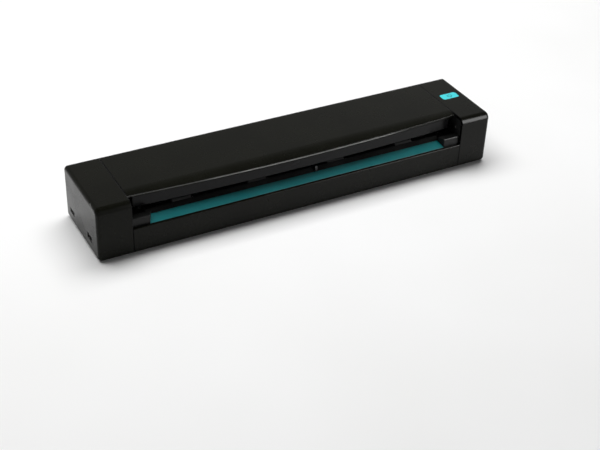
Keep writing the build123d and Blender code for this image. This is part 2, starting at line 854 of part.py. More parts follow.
def pinch_axle(y):
    reach = band_half - mould_wall - 2 * slip
    return rod_x(-reach, reach, y, pinch_z, pinch_axle_radius)


def coil(x, y, z0, z1):
    """A compression spring: one wire wound at an even rise, drawn in quarter turns."""
    rise = (z1 - z0 - 2 * wire_radius) / spring_turns
    points = []
    for step in range(8 * spring_turns + 1):
        angle = math.pi / 4 * step
        points.append((x + spring_radius * math.cos(angle), y + spring_radius * math.sin(angle),
                       z0 + wire_radius + rise * step / 8))
    arcs = [ThreePointArc(*points[k:k + 3]) for k in range(0, len(points) - 2, 2)]
    path = Wire([arc.edge() for arc in arcs])
    start = Plane(origin=path @ 0, z_dir=path % 0)
    return sweep(start * Circle(wire_radius), path=path)


def pinch_springs(y):
    low = pinch_z + bearing_rise
    return group([coil(side * bearing_x, y, low, cover_under - running) for side in (-1, 1)])


# Paper sensor

def sensor_lever():
    """A lever that the sheet pushes back, with a flag that swings in the sensor's gap."""
    top = path_height + lever_rise
    side = lever_arm / 2
    lever = rod_x(-lever_half, lever_half, lever_y, lever_height, lever_pin)
    lever += rod_x(-ear_gap + slip, ear_gap - slip, lever_y, lever_height, lever_hub)
    lever += along_x([(lever_y - side, lever_height), (lever_y + side, lever_height),
                      (lever_y + side / 2, top), (lever_y - side / 2, top)],
                     [0, 0, side / 3, side / 3], -side, side)
    lever += slab(0, lever_y, flag_width, flag_depth, flag_bottom, lever_height)
    return Pos(lever_x, 0, 0) * lever


def paper_sensor():
    """A fork-shaped light barrier on the tray's floor."""
    outer = fork_gap + fork_width
    fork = slab(0, lever_y, 2 * outer, ear_depth, floor_top, floor_top + fork_height)
    fork -= slab(0, lever_y, 2 * fork_gap, ear_depth, floor_top + fork_foot, floor_top + fork_height)
    return Pos(lever_x, 0, 0) * fork


# Boards, ports and button

def main_board():
    board = block(port_x + port_overhang, board_right_end, board_front, board_back, board_bottom, board_top)
    for x in board_screw_xs:
        for y in board_screw_ys:
            board -= screw_hole(x, y, board_bottom, board_top)
    return board


def main_chip():
    return slab(chip_x, lower_sensor_y, chip_size, chip_size, board_top, board_top + chip_height)


def ribbon_connectors():
    return group([slab(connector_x, y, connector_length, connector_depth, board_top,
                       board_top + connector_height)
                  for y in (lower_sensor_y, lower_sensor_y + connector_pitch)])


def lower_sensor_ribbon():
    """A short ribbon from the lower sensor down to the board."""
    return slab(connector_x, lower_sensor_y, ribbon_width, ribbon_thickness,
                board_top + connector_height, lower_bar_bottom)


def long_ribbon():
    """A flat cable from the main board's end along the floor to the button board."""
    low = floor_top + ribbon_thickness
    high = tongue_top + ribbon_thickness
    step_x = span_x - tongue_root
    y0 = long_ribbon_y - long_ribbon_width / 2
    y1 = long_ribbon_y + long_ribbon_width / 2
    ribbon = block(board_right_end, board_right_end + ribbon_thickness, y0, y1, floor_top, board_top)
    ribbon += block(board_right_end, step_x, y0, y1, floor_top, low)
    ribbon += block(step_x - ribbon_thickness, step_x, y0, y1, floor_top, high)
    ribbon += block(step_x - ribbon_thickness, long_ribbon_x, y0, y1, tongue_top, high)
    return ribbon + block(long_ribbon_x - ribbon_thickness, long_ribbon_x, y0, y1, tongue_top,
                          button_board_bottom)


def port(y, width, tall):
    """A metal-shelled socket with a tongue, its mouth just inside the cap's side."""
    shell = block(port_x, port_x + port_depth, y - width / 2, y + width / 2, board_top, board_top + tall)
    shell = fillet(shell.edges().filter_by(Axis.X), port_shell)
    rest = port_x + port_depth - wall
    shell -= block(port_x, rest, y - width / 2 + port_shell, y + width / 2 - port_shell,
                   board_top + port_shell, board_top + tall - port_shell)
    middle = board_top + tall / 2
    side = width / 2 - port_tongue_inset
    return shell + block(port_x + port_tongue, rest, y - side, y + side,
                         middle - port_tongue / 2, middle + port_tongue / 2)


def power_button():
    """The button, its retaining flange and the stem that bears on the switch."""
    body = button_outline(0, button_floor, height)
    body = fillet(body.edges().group_by(Axis.Z)[-1], button_crown)
    flange_top = height - wall - slip
    body += button_outline(flange_reach, flange_top - flange_thickness, flange_top)
    return body + rod_z(button_x, button_y, plunger_top, button_floor + flange_thickness, stem_radius)


def switch_plunger():
    return rod_z(button_x, button_y, switch_top - plunger_inside, plunger_top, plunger_radius)


def button_switch():
    """The tact switch's housing, with a well for the plunger."""
    body = slab(button_x, button_y, switch_size, switch_size, button_board_top, switch_top)
    well = switch_top - plunger_inside - button_travel - slip
    return body - rod_z(button_x, button_y, well, switch_top, plunger_radius + running)


def button_board():
    board = slab(button_x, button_y, button_board_length, button_board_depth,
                 button_board_bottom, button_board_top)
    for y in button_post_ys:
        board -= screw_hole(button_x, y, button_board_bottom, button_board_top)
    return board


# Screws and feet

def base_screws():
    """Screws from below into the guide plate's posts, the guide blocks and the tongues."""
    places = [(x, y) for x in plate_screw_xs for y in plate_screw_ys]
    places += [(side * leg_x, y) for side in (-1, 1) for y in leg_ys]
    screws = [screw(x, y, floor_bottom, wall - head_height + bite, upright) for x, y in places]
    tongue_bite = wall - head_height + tongue_thickness
    screws += [screw(side * cap_screw_x, y, floor_bottom, tongue_bite, upright)
               for y in (-cap_screw_y, cap_screw_y) for side in (-1, 1)]
    return group(screws)


def frame_screws():
    screws = [screw(frame_out + head_height, y, frame_boss_height, frame_thickness + bite, inwards)
              for y in frame_screw_ys]
    return group(screws + [mirror(piece, Plane.YZ) for piece in screws])


def bracket_screws():
    return group([screw(motor_x + head_height, y, z, motor_x - frame_x, inwards) for y, z in bracket_legs])


def board_screws():
    """Screws that hold the main board from above and the button board from below."""
    main_shank = board_top - floor_top - slip
    screws = [screw(x, y, board_top + head_height, main_shank, downwards)
              for x in board_screw_xs for y in board_screw_ys]
    button_shank = button_board_thickness + bite / 2
    screws += [screw(button_x, y, button_board_bottom - head_height, button_shank, upright)
               for y in button_post_ys]
    return group(screws)


def lid_screws():
    low = roof + lid_head_sink - head_height
    shank = plate_thickness - lid_head_sink + bite
    return group([screw(x, y, low, shank, upright) for x, y in lid_screw_places])


def rubber_feet():
    pad = rod_z(0, 0, 0, floor_bottom + foot_seat, foot_radius)
    pad = fillet(pad.edges().filter_by(GeomType.CIRCLE).sort_by(Axis.Z)[:1], edge_round)
    return group([Pos(side * x, y, 0) * pad for side in (-1, 1) for x, y in foot_places])


nodes = {
    "base_tray": base_tray(),
    "left_end_cap": left_end_cap(),
    "right_end_cap": right_end_cap(),
    "left_side_frame": left_side_frame(),
    "right_side_frame": right_side_frame(),
    "shaft_bushes": shaft_bushes(),
    "hinge_pins": hinge_pins(),
    "lower_guide_plate": lower_guide_plate(),
    "entry_strip": entry_strip(),
    "right_guide_block": guide_block(),
    "left_guide_block": mirror(guide_block(), Plane.YZ),
    "lower_sensor_bar": sensor_bar(lower_sensor_y, lower_bar_bottom),
    "lower_sensor_glass": sensor_glass(lower_sensor_y, lower_bar_top, guide_top),
    "lower_calibration_strip": white_strip(upper_sensor_y, guide_top - white_strip_thickness, guide_top),
    "main_board": main_board(),
    "main_chip": main_chip(),
    "ribbon_connectors": ribbon_connectors(),
    "lower_sensor_ribbon": lower_sensor_ribbon(),
    "long_ribbon": long_ribbon(),
    "mini_port": port(mini_port_y, mini_port_width, mini_port_height),
    "micro_port": port(micro_port_y, micro_port_width, micro_port_height),
    "drive_gear_stud": drive_gear_stud(),
    "motor": motor(),
    "motor_bracket": motor_bracket(),
    "paper_sensor": paper_sensor(),
    "button_board": button_board(),
    "button_switch": button_switch(),
    "rubber_feet": rubber_feet(),
    "base_screws": base_screws(),
    "frame_screws": frame_screws(),
    "bracket_screws": bracket_screws(),
    "board_screws": board_screws(),
    "top_cover": top_cover(),
    "lid_inner_frame": lid_inner_frame(),
    "upper_sensor_bar": sensor_bar(upper_sensor_y, roof_top),
    "upper_sensor_glass": sensor_glass(upper_sensor_y, roof, roof_top),
    "upper_calibration_strip": white_strip(lower_sensor_y, roof, roof + white_strip_thickness),
    "lid_screws": lid_screws(),
    "drive_gear": drive_gear(),
    "motor_shaft": motor_shaft(),
    "motor_pinion": motor_pinion(),
    "sensor_lever": sensor_lever(),
    "power_button": power_button(),
    "switch_plunger": switch_plunger(),
}
for place, y in roller_y.items():
    nodes[place + "_feed_shaft"] = feed_shaft(y)
    nodes[place + "_feed_rollers"] = tyres(y, feed_z, feed_radius, feed_width, shaft_radius)
    nodes[place + "_shaft_gear"] = shaft_gear(y)
    nodes[place + "_pinch_bearings"] = pinch_bearings(y)
    nodes[place + "_pinch_axle"] = pinch_axle(y)
    nodes[place + "_pinch_rollers"] = tyres(y, pinch_z, pinch_radius, pinch_width, pinch_axle_radius)
    nodes[place + "_pinch_springs"] = pinch_springs(y)

spring_rise = (cover_under - running - pinch_z - bearing_rise - 2 * wire_radius) / spring_turns
print("least gap between spring turns", round(spring_rise - 2 * wire_radius, 2), "mm")

os.makedirs("parts", exist_ok=True)
for name, piece in nodes.items():
    export_step(piece, f"parts/{name}.step")
print(len(nodes), "nodes written")
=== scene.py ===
import math

import bmesh
import bpy
from mathutils import Matrix, Vector


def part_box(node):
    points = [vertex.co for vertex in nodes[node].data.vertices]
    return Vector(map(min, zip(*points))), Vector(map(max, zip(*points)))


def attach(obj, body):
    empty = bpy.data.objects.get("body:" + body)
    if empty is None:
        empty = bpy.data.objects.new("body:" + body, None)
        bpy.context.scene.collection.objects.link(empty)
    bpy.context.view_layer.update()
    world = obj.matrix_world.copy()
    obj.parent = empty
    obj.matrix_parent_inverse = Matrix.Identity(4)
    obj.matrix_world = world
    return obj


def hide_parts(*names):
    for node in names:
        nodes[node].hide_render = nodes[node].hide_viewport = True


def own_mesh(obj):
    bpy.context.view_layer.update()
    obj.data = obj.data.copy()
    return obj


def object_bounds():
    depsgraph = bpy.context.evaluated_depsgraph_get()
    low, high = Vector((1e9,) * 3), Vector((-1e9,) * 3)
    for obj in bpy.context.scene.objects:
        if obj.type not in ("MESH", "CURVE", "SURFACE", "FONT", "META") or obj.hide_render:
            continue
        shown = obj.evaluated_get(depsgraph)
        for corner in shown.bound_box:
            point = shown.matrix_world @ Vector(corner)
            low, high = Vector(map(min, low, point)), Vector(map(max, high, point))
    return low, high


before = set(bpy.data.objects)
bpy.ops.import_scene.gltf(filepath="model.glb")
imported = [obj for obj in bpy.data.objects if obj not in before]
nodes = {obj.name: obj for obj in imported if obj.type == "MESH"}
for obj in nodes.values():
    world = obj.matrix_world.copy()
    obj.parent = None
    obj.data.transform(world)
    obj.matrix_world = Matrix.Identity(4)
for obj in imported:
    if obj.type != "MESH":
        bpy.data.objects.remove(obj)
cad_box = [[float(v) for v in corner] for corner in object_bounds()]
bpy.ops.object.select_all(action="DESELECT")


# The viewpoint: a small product camera in front, to the left and above, turned slightly as it
# was held by hand. The scanner is wide, so the lens is a moderate tele.
back = Vector((-0.40666, -0.71820, 0.56468))
back.normalize()
level = Vector((0, 0, 1)).cross(back).normalized()
upright = back.cross(level)
turn = math.radians(2.439)
side_axis = math.cos(turn) * level + math.sin(turn) * upright
up_axis = math.cos(turn) * upright - math.sin(turn) * level
lens = bpy.data.cameras.new("viewpoint")
lens.sensor_width = 36.0
lens.lens = 71.78
lens.shift_y = -0.00667
lens.clip_start = 0.01
camera = bpy.data.objects.new("viewpoint", lens)
camera.matrix_world = Matrix((side_axis, up_axis, back)).transposed().to_4x4()
camera.location = (-0.3368, -0.6180, 0.4528)
bpy.context.collection.objects.link(camera)
bpy.context.scene.camera = camera


# The desk: a plain pale laminate sheet, near-white and faintly cloudy, as a wiped desk is. In the
# casing's gloss it shows brighter than it is lit, more so towards the back, but not right beside
# the scanner.
def new_finish(name):
    """An empty node material: its tree, its shader and the piece's own coordinates."""
    finish = bpy.data.materials.new(name)
    finish.use_nodes = True
    tree = finish.node_tree
    tree.nodes.clear()
    out = tree.nodes.new("ShaderNodeOutputMaterial")
    shader = tree.nodes.new("ShaderNodeBsdfPrincipled")
    tree.links.new(shader.outputs[0], out.inputs["Surface"])
    place = tree.nodes.new("ShaderNodeTexCoord").outputs["Object"]
    return finish, tree, shader, place


def cloud(tree, place, scale, detail, stretch=(1, 1, 1)):
    """Soft random tone with patches of about 1/scale metres, drawn out along an axis if asked."""
    if stretch != (1, 1, 1):
        mapping = tree.nodes.new("ShaderNodeMapping")
        mapping.inputs["Scale"].default_value = stretch
        tree.links.new(place, mapping.inputs["Vector"])
        place = mapping.outputs[0]
    noise = tree.nodes.new("ShaderNodeTexNoise")
    noise.inputs["Scale"].default_value = scale
    noise.inputs["Detail"].default_value = detail
    tree.links.new(place, noise.inputs["Vector"])
    return noise.outputs["Fac"]


def tones(tree, value, *stops):
    """Colours laid along a value from 0 to 1; each stop is a place and a colour."""
    ramp = tree.nodes.new("ShaderNodeValToRGB")
    marks = ramp.color_ramp.elements
    while len(marks) < len(stops):
        marks.new(0.5)
    for mark, (at, colour) in zip(marks, stops):
        mark.position = at
        mark.color = (*colour, 1)
    tree.links.new(value, ramp.inputs[0])
    return ramp.outputs[0]


def spread(tree, value, low, high, start=0.3, end=0.7):
    """A value between start and end becomes one between low and high."""
    span = tree.nodes.new("ShaderNodeMapRange")
    for socket, end_of_range in (("From Min", start), ("From Max", end), ("To Min", low),
                                 ("To Max", high)):
        span.inputs[socket].default_value = end_of_range
    tree.links.new(value, span.inputs["Value"])
    return span.outputs[0]


def reckon(tree, operation, first, second=None):
    """One step of arithmetic on a value, with another value or a plain number."""
    step = tree.nodes.new("ShaderNodeMath")
    step.operation = operation
    tree.links.new(first, step.inputs[0])
    if isinstance(second, bpy.types.NodeSocket):
        tree.links.new(second, step.inputs[1])
    elif second is not None:
        step.inputs[1].default_value = second
    return step.outputs[0]


def three_ways(tree, place):
    """The X, the Y and the Z of a place or a direction, each by itself."""
    split = tree.nodes.new("ShaderNodeSeparateXYZ")
    tree.links.new(place, split.inputs[0])
    return split.outputs["X"], split.outputs["Y"], split.outputs["Z"]


DESK_SIZE = 6.0
CAMERA_GLOW = 0.015
FRONT_GLOW = 0.02
BACK_GLOW = 0.22
GLOW_FROM_Y = -0.11
GLOW_TO_Y = 0.0
GLOW_SLANT = 0.31
DARK_BORDER = 0.007

desk_finish, tree, shader, place = new_finish("pale_desk")
wiped = cloud(tree, place, 6, 2)
tree.links.new(tones(tree, wiped, (0.3, (0.87, 0.87, 0.865)), (0.7, (0.90, 0.90, 0.90))),
               shader.inputs["Base Color"])
tree.links.new(spread(tree, wiped, 0.55, 0.65), shader.inputs["Roughness"])
shader.inputs["Specular IOR Level"].default_value = 0.2
path = tree.nodes.new("ShaderNodeLightPath")
x, y, _ = three_ways(tree, place)
towards_back = reckon(tree, "ADD", reckon(tree, "MULTIPLY", x, GLOW_SLANT), y)
beside = reckon(tree, "SUBTRACT", reckon(tree, "ABSOLUTE", x), cad_box[1][0])
in_front = reckon(tree, "SUBTRACT", reckon(tree, "ABSOLUTE", y), cad_box[1][1])
clear_of_it = spread(tree, reckon(tree, "MAXIMUM", beside, in_front), 0, 1, 0, DARK_BORDER)
mirrored = reckon(tree, "MULTIPLY", path.outputs["Is Glossy Ray"], clear_of_it)
mirrored = reckon(tree, "MULTIPLY", mirrored,
                  spread(tree, towards_back, FRONT_GLOW, BACK_GLOW, GLOW_FROM_Y, GLOW_TO_Y))
seen = reckon(tree, "MULTIPLY", path.outputs["Is Camera Ray"], CAMERA_GLOW)
shader.inputs["Emission Color"].default_value = (1, 1, 1, 1)
tree.links.new(reckon(tree, "ADD", mirrored, seen), shader.inputs["Emission Strength"])
bpy.ops.mesh.primitive_plane_add(size=DESK_SIZE)
desk = bpy.context.object
desk.name = "desk"
desk.data.materials.append(desk_finish)


# The light: a broad soft box overhead, which lights without being mirrored, and a tall one at the
# front right that is only mirrored, as the bright line on the right cap's rounding. The room is
# white to the camera, pale near the horizon and dark overhead in reflections, and dim otherwise.
def soft_box(name, place, aim, size, power):
    """A rectangular lamp that looks from its place at its aim, unseen by the camera."""
    lamp = bpy.data.lights.new(name, "AREA")
    lamp.shape = "RECTANGLE"
    lamp.size, lamp.size_y = size
    lamp.energy = power
    box = bpy.data.objects.new(name, lamp)
    box.location = place
    box.rotation_euler = (Vector(aim) - Vector(place)).to_track_quat("-Z", "Y").to_euler()
    box.visible_camera = False
    bpy.context.collection.objects.link(box)
    return box


def room_light(tree, strength):
    """White light from the room, at a strength that is a number or a value."""
    light = tree.nodes.new("ShaderNodeBackground")
    light.inputs["Color"].default_value = (1, 1, 1, 1)
    if isinstance(strength, bpy.types.NodeSocket):
        tree.links.new(strength, light.inputs["Strength"])
    else:
        light.inputs["Strength"].default_value = strength
    return light.outputs[0]


def either(tree, question, no, yes):
    """One of two lights, by a question that is 0 or 1."""
    mix = tree.nodes.new("ShaderNodeMixShader")
    for at, source in enumerate((question, no, yes)):
        tree.links.new(source, mix.inputs[at])
    return mix.outputs[0]


overhead_box = soft_box("overhead_box", place=(0.0, 0.37, 1.20), aim=(0, 0, 0), size=(1.7, 0.75),
                        power=23.0)
overhead_box.visible_glossy = False
edge_box = soft_box("edge_box", place=(0.69, -0.77, 0.44), aim=(0.14, -0.03, 0.035),
                    size=(0.30, 0.95), power=19.0)
edge_box.visible_diffuse = False

DIM = 0.08
WHITE = 0.97
HORIZON = 0.62
OVERHEAD = 0.14
DARKER_FROM = 0.35
DARKER_TO = 0.85

room = bpy.data.worlds.new("room")
room.use_nodes = True
bpy.context.scene.world = room
tree = room.node_tree
tree.nodes.clear()
out = tree.nodes.new("ShaderNodeOutputWorld")
upwards = three_ways(tree, tree.nodes.new("ShaderNodeTexCoord").outputs["Generated"])[2]
pale = spread(tree, upwards, HORIZON, OVERHEAD, DARKER_FROM, DARKER_TO)
path = tree.nodes.new("ShaderNodeLightPath")
shine = reckon(tree, "MAXIMUM", path.outputs["Is Glossy Ray"], path.outputs["Is Transmission Ray"])
lit = either(tree, shine, room_light(tree, DIM), room_light(tree, pale))
seen = either(tree, path.outputs["Is Camera Ray"], lit, room_light(tree, WHITE))
tree.links.new(seen, out.inputs["Surface"])
bpy.context.scene.view_settings.view_transform = "Standard"


# The casing: base tray, both end caps and the hinged top cover, four black ABS mouldings with a
# fine spark-eroded grain. Handling has polished their edges a little and left faint cloudiness.
# Their edges are painted paler, partly as wear and partly as a painted highlight; the seams beside
# the caps carry painted shade, and the cover's front rim a painted highlight line.
def edge_wear_and_sheen(tree, reach):
    """Softened normals, and a value that rises where the surface turns within reach metres."""
    eased = tree.nodes.new("ShaderNodeBevel")
    eased.samples = 6
    eased.inputs["Radius"].default_value = reach
    facing = tree.nodes.new("ShaderNodeNewGeometry")
    turn_of = tree.nodes.new("ShaderNodeVectorMath")
    turn_of.operation = "DOT_PRODUCT"
    tree.links.new(eased.outputs[0], turn_of.inputs[0])
    tree.links.new(facing.outputs["Normal"], turn_of.inputs[1])
    return eased.outputs[0], spread(tree, turn_of.outputs["Value"], 1, 0, 0.80, 0.995)


def laid_over(tree, tone, colour, share):
    """A plain colour laid over a tone, by a share from 0 to 1."""
    mix = tree.nodes.new("ShaderNodeMix")
    mix.data_type = "RGBA"
    mix.inputs[7].default_value = (*colour, 1)
    tree.links.new(share, mix.inputs[0])
    tree.links.new(tone, mix.inputs[6])
    return mix.outputs[2]


def relief(tree, shader, height, depth, strength, eased=None):
    """Raises the surface by a value, at most depth metres, on softened edges if they are given."""
    bump = tree.nodes.new("ShaderNodeBump")
    bump.inputs["Strength"].default_value = strength
    bump.inputs["Distance"].default_value = depth
    tree.links.new(height, bump.inputs["Height"])
    if eased:
        tree.links.new(eased, bump.inputs["Normal"])
    tree.links.new(bump.outputs[0], shader.inputs["Normal"])


EDGE_REACH = 0.0005
EDGE_WEAR_AND_SHEEN = 0.5
EDGE_POLISH = 0.10


def moulded(name, dark, light, worn_and_highlight, rough, grain=1400, depth=0.00002, gloss=0.5, marks=None):
    """A moulded plastic: cloudy tone, fine grain in relief, edges smoother and paler from wear and a
    painted highlight.

    Marks, if given, is a function that works painted shade and painted highlights into the tone.
    """
    finish, tree, shader, place = new_finish(name)
    tone = tones(tree, cloud(tree, place, 28, 4), (0.3, dark), (0.7, light))
    if marks:
        tone = marks(tree, place, tone)
    eased, wear_and_sheen = edge_wear_and_sheen(tree, EDGE_REACH)
    # Edges are laid towards a paler colour, partly as wear and partly as a painted highlight.
    tree.links.new(laid_over(tree, tone, worn_and_highlight, spread(tree, wear_and_sheen, 0, EDGE_WEAR_AND_SHEEN, 0, 1)),
                   shader.inputs["Base Color"])
    patchy = spread(tree, cloud(tree, place, 60, 5), rough - 0.05, rough + 0.06)
    tree.links.new(reckon(tree, "SUBTRACT", patchy, spread(tree, wear_and_sheen, 0, EDGE_POLISH, 0, 1)),
                   shader.inputs["Roughness"])
    shader.inputs["Specular IOR Level"].default_value = gloss
    relief(tree, shader, cloud(tree, place, grain, 2), depth, 0.6, eased)
    return finish


def dress(finish, *names):
    """Gives CAD nodes their finish."""
    for name in names:
        slots = nodes[name].data.materials
        if len(slots) == 0:
            slots.append(finish)
        for k in range(len(slots)):
            slots[k] = finish


def distance_from_axis(tree, place, spot, keep):
    """How far a point lies from an axis through the spot; keep is 0 along that axis."""
    moved = tree.nodes.new("ShaderNodeVectorMath")
    moved.operation = "MULTIPLY_ADD"
    moved.inputs[1].default_value = keep
    moved.inputs[2].default_value = [-at * k for at, k in zip(spot, keep)]
    tree.links.new(place, moved.inputs[0])
    length = tree.nodes.new("ShaderNodeVectorMath")
    length.operation = "LENGTH"
    tree.links.new(moved.outputs[0], length.inputs[0])
    return length.outputs["Value"]


cover_low, cover_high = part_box("top_cover")
cap_inner_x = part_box("right_end_cap")[0][0]
SEAM_X = (cover_high[0] + cap_inner_x) / 2
SEAM_HALF = (cap_inner_x - cover_high[0]) / 2
# Painted shade: the seams beside the caps are darkened over this width, fading out by its end.
SEAM_SHADE_HALF = 2 * SEAM_HALF
SEAM_SHADE_END = 4.5 * SEAM_HALF
SEAM_SHADE = (0.0004, 0.0004, 0.0003)
ROLL_RADIUS = 0.025
ROLL_AXIS = (0, -0.014, cover_high[2] - ROLL_RADIUS)
LIP_BOW = 0.0032
BOW_RADIUS = (cover_high[0] ** 2 + LIP_BOW ** 2) / (2 * LIP_BOW)
BOW_AXIS = (0, cover_low[1] + BOW_RADIUS, 0)
RIM_DEPTH = 0.0007
RIM_HALF = 0.0003
RIM_END = 0.0005
RIM_Z = 0.034, 0.035
LIP_FRONT = BOW_RADIUS - 0.0003, BOW_RADIUS - 0.0002
# Where the painted highlight on the rim weakens at the left and fades out at the right.
HIGHLIGHT_FADE_LEFT = -0.075, -0.060
HIGHLIGHT_FADE_RIGHT = 0.068, 0.086
# The colour of the painted highlight along the lower edge of the cover's front lip.
RIM_HIGHLIGHT = (0.34, 0.34, 0.33)


def casing_shade_and_highlight(tree, place, tone):
    """Painted shade darkens the seams beside the caps, and a painted highlight lines the cover's front
    rim.
    """
    x, y, z = three_ways(tree, place)
    # Painted shade in the seams beside the caps.
    from_seam = reckon(tree, "ABSOLUTE", reckon(tree, "SUBTRACT", reckon(tree, "ABSOLUTE", x), SEAM_X))
    seam_shaded = laid_over(tree, tone, SEAM_SHADE, spread(tree, from_seam, 1, 0, SEAM_SHADE_HALF, SEAM_SHADE_END))
    # Painted highlight: a pale line along the lower edge of the cover's front lip, broken here and
    # there.
    below_roll = distance_from_axis(tree, place, ROLL_AXIS, (0, 1, 1))
    behind_bow = distance_from_axis(tree, place, BOW_AXIS, (1, 1, 0))
    uneven = cloud(tree, place, 30, 2, (1, 0, 0))
    off_rim = reckon(tree, "ABSOLUTE", reckon(tree, "SUBTRACT", below_roll, ROLL_RADIUS - RIM_DEPTH))
    rim_highlight = spread(tree, off_rim, 1, 0, RIM_HALF, RIM_END)
    for where, low, high, (start, end) in ((behind_bow, 0, 1, LIP_FRONT), (z, 0, 1, RIM_Z),
                                           (x, 1, 0.04, HIGHLIGHT_FADE_RIGHT), (x, 0.35, 1, HIGHLIGHT_FADE_LEFT),
                                           (uneven, 0.6, 1, (0.35, 0.55))):
        rim_highlight = reckon(tree, "MULTIPLY", rim_highlight, spread(tree, where, low, high, start, end))
    return laid_over(tree, seam_shaded, RIM_HIGHLIGHT, rim_highlight)


casing_finish = moulded("casing_black", (0.0034, 0.0035, 0.0019), (0.0050, 0.0052, 0.0029),
                        (0.030, 0.031, 0.028), 0.25, gloss=0.10, marks=casing_shade_and_highlight)
dress(casing_finish, "base_tray", "left_end_cap", "right_end_cap", "top_cover")


# The rubber feet: four round pads of moulded black rubber, glued into shallow seats under the end
# caps. They are matte and hold a little dust in patches.
def rubber(name, dark, dusty, rough, lines=(1, 1, 1), line_scale=2500):
    """A dull rubber: dust in patches, and fine ground lines across the given stretch."""
    finish, tree, shader, place = new_finish(name)
    dust = cloud(tree, place, 110, 5)
    tree.links.new(tones(tree, dust, (0.35, dark), (0.75, dusty)), shader.inputs["Base Color"])
    tree.links.new(spread(tree, dust, rough - 0.08, rough + 0.08), shader.inputs["Roughness"])
    shader.inputs["Specular IOR Level"].default_value = 0.25
    relief(tree, shader, cloud(tree, place, line_scale, 2, lines), 0.00003, 0.7)
    return finish


dress(rubber("foot_rubber", (0.010, 0.010, 0.010), (0.035, 0.035, 0.033), 0.80), "rubber_feet")


# The screws: zinc-plated steel with pan heads and a cross recess. One of each length is turned and
# threaded here, then copied to every place where the CAD model has it, with its head outwards.
LINE_SHARE = 0.35
LINE_DEPTH = 0.000004


def steel(name, dark, light, rough, lines=(1, 1, 1), line_scale=900):
    """A bare or plated metal: slow colour change, fine working lines in tone and relief."""
    finish, tree, shader, place = new_finish(name)
    fine = cloud(tree, place, line_scale, 3, lines)
    slow = spread(tree, cloud(tree, place, 90, 3), 0, 1 - LINE_SHARE, 0.2, 0.8)
    blend = reckon(tree, "ADD", reckon(tree, "MULTIPLY", fine, LINE_SHARE), slow)
    tree.links.new(tones(tree, blend, (0.2, dark), (0.8, light)), shader.inputs["Base Color"])
    tree.links.new(spread(tree, fine, rough - 0.07, rough + 0.09), shader.inputs["Roughness"])
    shader.inputs["Metallic"].default_value = 1.0
    relief(tree, shader, fine, LINE_DEPTH, 0.6)
    return finish


def open_mesh(piece):
    """Makes the piece the only one selected and opens its mesh for editing."""
    bpy.ops.object.select_all(action="DESELECT")
    piece.select_set(True)
    bpy.context.view_layer.objects.active = piece
    bpy.ops.object.mode_set(mode="EDIT")


def pick(piece, kind, wanted):
    """Selects the faces or edges that answer the question, and nothing else."""
    bpy.ops.mesh.select_mode(type=kind)
    bpy.ops.mesh.select_all(action="DESELECT")
    mesh = bmesh.from_edit_mesh(piece.data)
    for item in mesh.faces if kind == "FACE" else mesh.edges:
        if wanted(item):
            item.select_set(True)
    mesh.select_flush_mode()
    bmesh.update_edit_mesh(piece.data)


def close_mesh(angle=35):
    """Turns the open mesh's faces outwards, puts its place into it and smooths its shading."""
    bpy.ops.mesh.select_all(action="SELECT")
    bpy.ops.mesh.normals_make_consistent(inside=False)
    bpy.ops.object.mode_set(mode="OBJECT")
    bpy.ops.object.transform_apply(location=True, rotation=True, scale=True)
    bpy.ops.object.shade_smooth_by_angle(angle=math.radians(angle))


def middle(item):
    """The middle of an edge or a face."""
    spots = [v.co for v in item.verts]
    return sum(spots, Vector()) / len(spots)


def cut_away(piece, tool):
    """Takes the tool's shape out of the piece and throws the tool away."""
    cut = piece.modifiers.new("cut", "BOOLEAN")
    cut.operation = "DIFFERENCE"
    cut.solver = "EXACT"
    cut.object = tool
    bpy.ops.object.select_all(action="DESELECT")
    piece.select_set(True)
    bpy.context.view_layer.objects.active = piece
    bpy.ops.object.modifier_apply(modifier=cut.name)
    bpy.data.objects.remove(tool)


def joined(name, parts):
    """One piece out of several."""
    bpy.ops.object.select_all(action="DESELECT")
    for part in parts:
        part.select_set(True)
    bpy.context.view_layer.objects.active = parts[0]
    if len(parts) > 1:
        bpy.ops.object.join()
    piece = bpy.context.view_layer.objects.active
    piece.name = name
    bpy.ops.object.select_all(action="DESELECT")
    return piece


def copied(pattern, matrix):
    """A copy with its own mesh, moved by a matrix that goes into the mesh."""
    twin = pattern.copy()
    twin.data = pattern.data.copy()
    twin.data.transform(matrix)
    bpy.context.collection.objects.link(twin)
    return twin


def solids_in(name):
    """The lowest and highest corner of each separate solid in a CAD node, from a merged copy."""
    mesh = bmesh.new()
    mesh.from_mesh(nodes[name].data)
    bmesh.ops.remove_doubles(mesh, verts=mesh.verts, dist=0.000002)
    left = set(mesh.verts)
    corners = []
    while left:
        front_line = [left.pop()]
        spots = [front_line[0].co.copy()]
        while front_line:
            here = front_line.pop()
            for edge in here.link_edges:
                far = edge.other_vert(here)
                if far in left:
                    left.remove(far)
                    front_line.append(far)
                    spots.append(far.co.copy())
        corners.append((Vector(map(min, *spots)), Vector(map(max, *spots))))
    mesh.free()
    return sorted(corners, key=lambda pair: tuple(pair[0]))


HEAD_RADIUS = 0.0019
HEAD_HEIGHT = 0.0010
RECESS_SPAN = 0.0020
RECESS_WIDTH = 0.00052
RECESS_DEPTH = 0.0006
RECESS_TAPER = 0.55
SHANK_RADIUS = 0.00103
SHANK_SUNK = 0.00002
THREAD_PITCH = 0.0005
THREAD_CORE = 0.80


